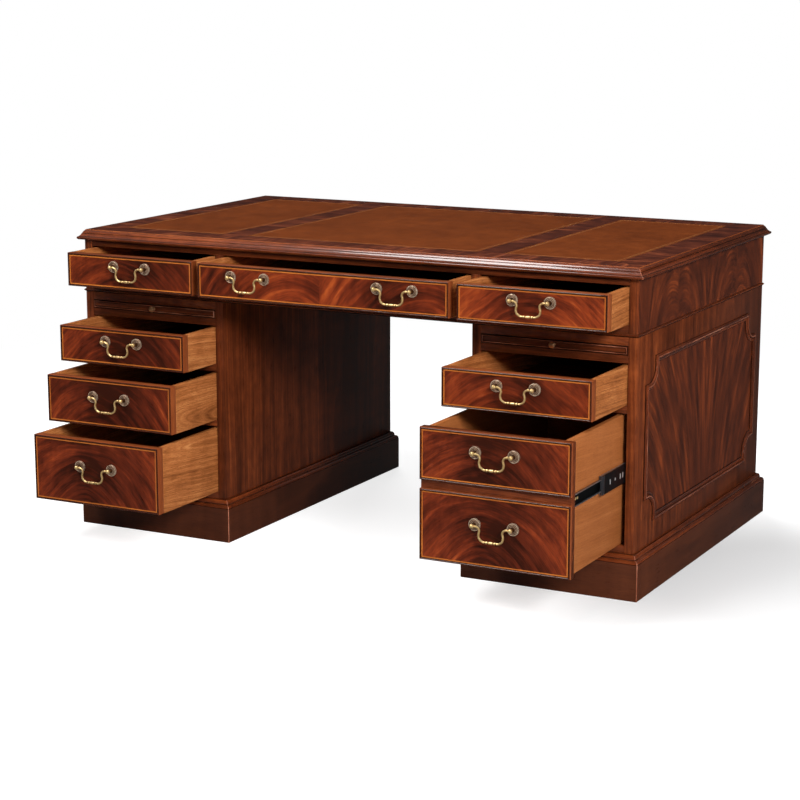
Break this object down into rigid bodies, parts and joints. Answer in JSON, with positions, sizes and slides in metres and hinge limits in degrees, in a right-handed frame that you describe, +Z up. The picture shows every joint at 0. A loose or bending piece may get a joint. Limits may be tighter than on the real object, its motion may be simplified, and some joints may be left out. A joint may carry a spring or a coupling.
{
  "type": "writing desk",
  "caption": "Pedestal writing desk with a leather-lined top, frieze and pedestal drawers, a file drawer, pull-out writing slides and bail pulls.",
  "frame": {"origin": "on the floor, under the middle of the box round the desk with its drawers open as in the picture", "axes": "+X to the sitter's right along the desk's length, +Y from the sitter towards the back, +Z up"},
  "size_m": [1.53, 1.235, 0.762],
  "materials": {
    "mahogany": "dark red-brown mahogany under a polished lacquer",
    "flame_mahogany": "flame mahogany veneer with a pale string inlay, under a polished lacquer, with brass posts",
    "oak": "golden-brown oak with a thin satin finish",
    "leather": "tan hide with a satin shine and a tooled border",
    "brass": "antique brass, rubbed bright on the high spots",
    "black_steel": "black coated steel runner"
  },
  "bodies": {
    "desk_case": {"top_board": "mahogany", "leather_left": "leather", "leather_centre": "leather", "leather_right": "leather", "frieze_end_left": "mahogany", "frieze_end_right": "mahogany", "frieze_back": "mahogany", "frieze_floor_board": "mahogany", "frieze_partition_frame": "mahogany", "left_plinth": "mahogany", "left_outer_side": "mahogany", "left_inner_side": "mahogany", "left_back": "mahogany", "left_bottom_board": "mahogany", "left_slide_housing": "mahogany", "left_upper_dust_board": "mahogany", "right_plinth": "mahogany", "right_outer_side": "mahogany", "right_inner_side": "mahogany", "right_back": "mahogany", "right_bottom_board": "mahogany", "right_slide_housing": "mahogany", "right_upper_dust_board": "mahogany", "left_lower_dust_board": "mahogany", "file_runner_cabinet_left": "black_steel", "file_runner_cabinet_right": "black_steel"},
    "frieze_left_drawer": {"frieze_left_drawer_front": "flame_mahogany", "frieze_left_drawer_box": "oak"},
    "frieze_left_drawer_bail": {"frieze_left_drawer_bail": "brass"},
    "frieze_centre_drawer": {"frieze_centre_drawer_front": "flame_mahogany", "frieze_centre_drawer_box": "oak"},
    "frieze_centre_drawer_bail_left": {"frieze_centre_drawer_bail_left": "brass"},
    "frieze_centre_drawer_bail_right": {"frieze_centre_drawer_bail_right": "brass"},
    "frieze_right_drawer": {"frieze_right_drawer_front": "flame_mahogany", "frieze_right_drawer_box": "oak"},
    "frieze_right_drawer_bail": {"frieze_right_drawer_bail": "brass"},
    "left_upper_drawer": {"left_upper_drawer_front": "flame_mahogany", "left_upper_drawer_box": "oak"},
    "left_upper_drawer_bail": {"left_upper_drawer_bail": "brass"},
    "left_middle_drawer": {"left_middle_drawer_front": "flame_mahogany", "left_middle_drawer_box": "oak"},
    "left_middle_drawer_bail": {"left_middle_drawer_bail": "brass"},
    "left_lower_drawer": {"left_lower_drawer_front": "flame_mahogany", "left_lower_drawer_box": "oak"},
    "left_lower_drawer_bail": {"left_lower_drawer_bail": "brass"},
    "right_upper_drawer": {"right_upper_drawer_front": "flame_mahogany", "right_upper_drawer_box": "oak"},
    "right_upper_drawer_bail": {"right_upper_drawer_bail": "brass"},
    "file_drawer": {"file_drawer_front": "flame_mahogany", "file_drawer_box": "oak", "file_runner_drawer_left": "black_steel", "file_runner_drawer_right": "black_steel"},
    "file_drawer_bail_lower": {"file_drawer_bail_lower": "brass"},
    "file_drawer_bail_upper": {"file_drawer_bail_upper": "brass"},
    "file_runner_middle": {"file_runner_middle_left": "black_steel", "file_runner_middle_right": "black_steel"},
    "left_writing_slide": {"left_writing_slide": "mahogany", "left_slide_knob": "brass"},
    "right_writing_slide": {"right_writing_slide": "mahogany", "right_slide_knob": "brass"}
  },
  "joints": [
    {"name": "frieze_left_drawer_slide", "type": "slide", "parent": "desk_case", "child": "frieze_left_drawer", "axis": [0, -1, 0], "range_m": [-0.105, 0.315]},
    {"name": "frieze_left_drawer_bail_swing", "type": "hinge", "parent": "frieze_left_drawer", "child": "frieze_left_drawer_bail", "pos_m": [-0.5415, -0.4045, 0.6895], "axis": [-1, 0, 0], "range_deg": [-18, 90]},
    {"name": "frieze_centre_drawer_slide", "type": "slide", "parent": "desk_case", "child": "frieze_centre_drawer", "axis": [0, -1, 0], "range_m": [-0.1165, 0.3035]},
    {"name": "frieze_centre_drawer_bail_left_swing", "type": "hinge", "parent": "frieze_centre_drawer", "child": "frieze_centre_drawer_bail_left", "pos_m": [-0.1965, -0.416, 0.6895], "axis": [-1, 0, 0], "range_deg": [-18, 90]},
    {"name": "frieze_centre_drawer_bail_right_swing", "type": "hinge", "parent": "frieze_centre_drawer", "child": "frieze_centre_drawer_bail_right", "pos_m": [0.1965, -0.416, 0.6895], "axis": [-1, 0, 0], "range_deg": [-18, 90]},
    {"name": "frieze_right_drawer_slide", "type": "slide", "parent": "desk_case", "child": "frieze_right_drawer", "axis": [0, -1, 0], "range_m": [-0.125, 0.295]},
    {"name": "frieze_right_drawer_bail_swing", "type": "hinge", "parent": "frieze_right_drawer", "child": "frieze_right_drawer_bail", "pos_m": [0.5415, -0.4245, 0.6895], "axis": [-1, 0, 0], "range_deg": [-18, 90]},
    {"name": "left_upper_drawer_slide", "type": "slide", "parent": "desk_case", "child": "left_upper_drawer", "axis": [0, -1, 0], "range_m": [-0.1455, 0.2745]},
    {"name": "left_upper_drawer_bail_swing", "type": "hinge", "parent": "left_upper_drawer", "child": "left_upper_drawer_bail", "pos_m": [-0.543, -0.445, 0.51], "axis": [-1, 0, 0], "range_deg": [-18, 90]},
    {"name": "left_middle_drawer_slide", "type": "slide", "parent": "desk_case", "child": "left_middle_drawer", "axis": [0, -1, 0], "range_m": [-0.2035, 0.2165]},
    {"name": "left_middle_drawer_bail_swing", "type": "hinge", "parent": "left_middle_drawer", "child": "left_middle_drawer_bail", "pos_m": [-0.543, -0.503, 0.3815], "axis": [-1, 0, 0], "range_deg": [-18, 90]},
    {"name": "left_lower_drawer_slide", "type": "slide", "parent": "desk_case", "child": "left_lower_drawer", "axis": [0, -1, 0], "range_m": [-0.265, 0.155]},
    {"name": "left_lower_drawer_bail_swing", "type": "hinge", "parent": "left_lower_drawer", "child": "left_lower_drawer_bail", "pos_m": [-0.543, -0.5645, 0.22], "axis": [-1, 0, 0], "range_deg": [-18, 90]},
    {"name": "right_upper_drawer_slide", "type": "slide", "parent": "desk_case", "child": "right_upper_drawer", "axis": [0, -1, 0], "range_m": [-0.206, 0.214]},
    {"name": "right_upper_drawer_bail_swing", "type": "hinge", "parent": "right_upper_drawer", "child": "right_upper_drawer_bail", "pos_m": [0.543, -0.5055, 0.51], "axis": [-1, 0, 0], "range_deg": [-18, 90]},
    {"name": "file_drawer_slide", "type": "slide", "parent": "desk_case", "child": "file_drawer", "axis": [0, -1, 0], "range_m": [-0.3125, 0.3255]},
    {"name": "file_drawer_bail_lower_swing", "type": "hinge", "parent": "file_drawer", "child": "file_drawer_bail_lower", "pos_m": [0.543, -0.612, 0.22], "axis": [-1, 0, 0], "range_deg": [-18, 90]},
    {"name": "file_drawer_bail_upper_swing", "type": "hinge", "parent": "file_drawer", "child": "file_drawer_bail_upper", "pos_m": [0.543, -0.612, 0.3815], "axis": [-1, 0, 0], "range_deg": [-18, 90]},
    {"name": "file_runner_middle_slide", "type": "slide", "parent": "desk_case", "child": "file_runner_middle", "axis": [0, -1, 0], "range_m": [-0.15625, 0.16275]},
    {"name": "left_writing_slide_pull", "type": "slide", "parent": "desk_case", "child": "left_writing_slide", "axis": [0, -1, 0], "range_m": [0, 0.3]},
    {"name": "right_writing_slide_pull", "type": "slide", "parent": "desk_case", "child": "right_writing_slide", "axis": [0, -1, 0], "range_m": [0, 0.3]}
  ],
  "couplings": [
    {"joint": "file_runner_middle_slide", "follows": "file_drawer_slide", "ratio": 0.5}
  ]
}
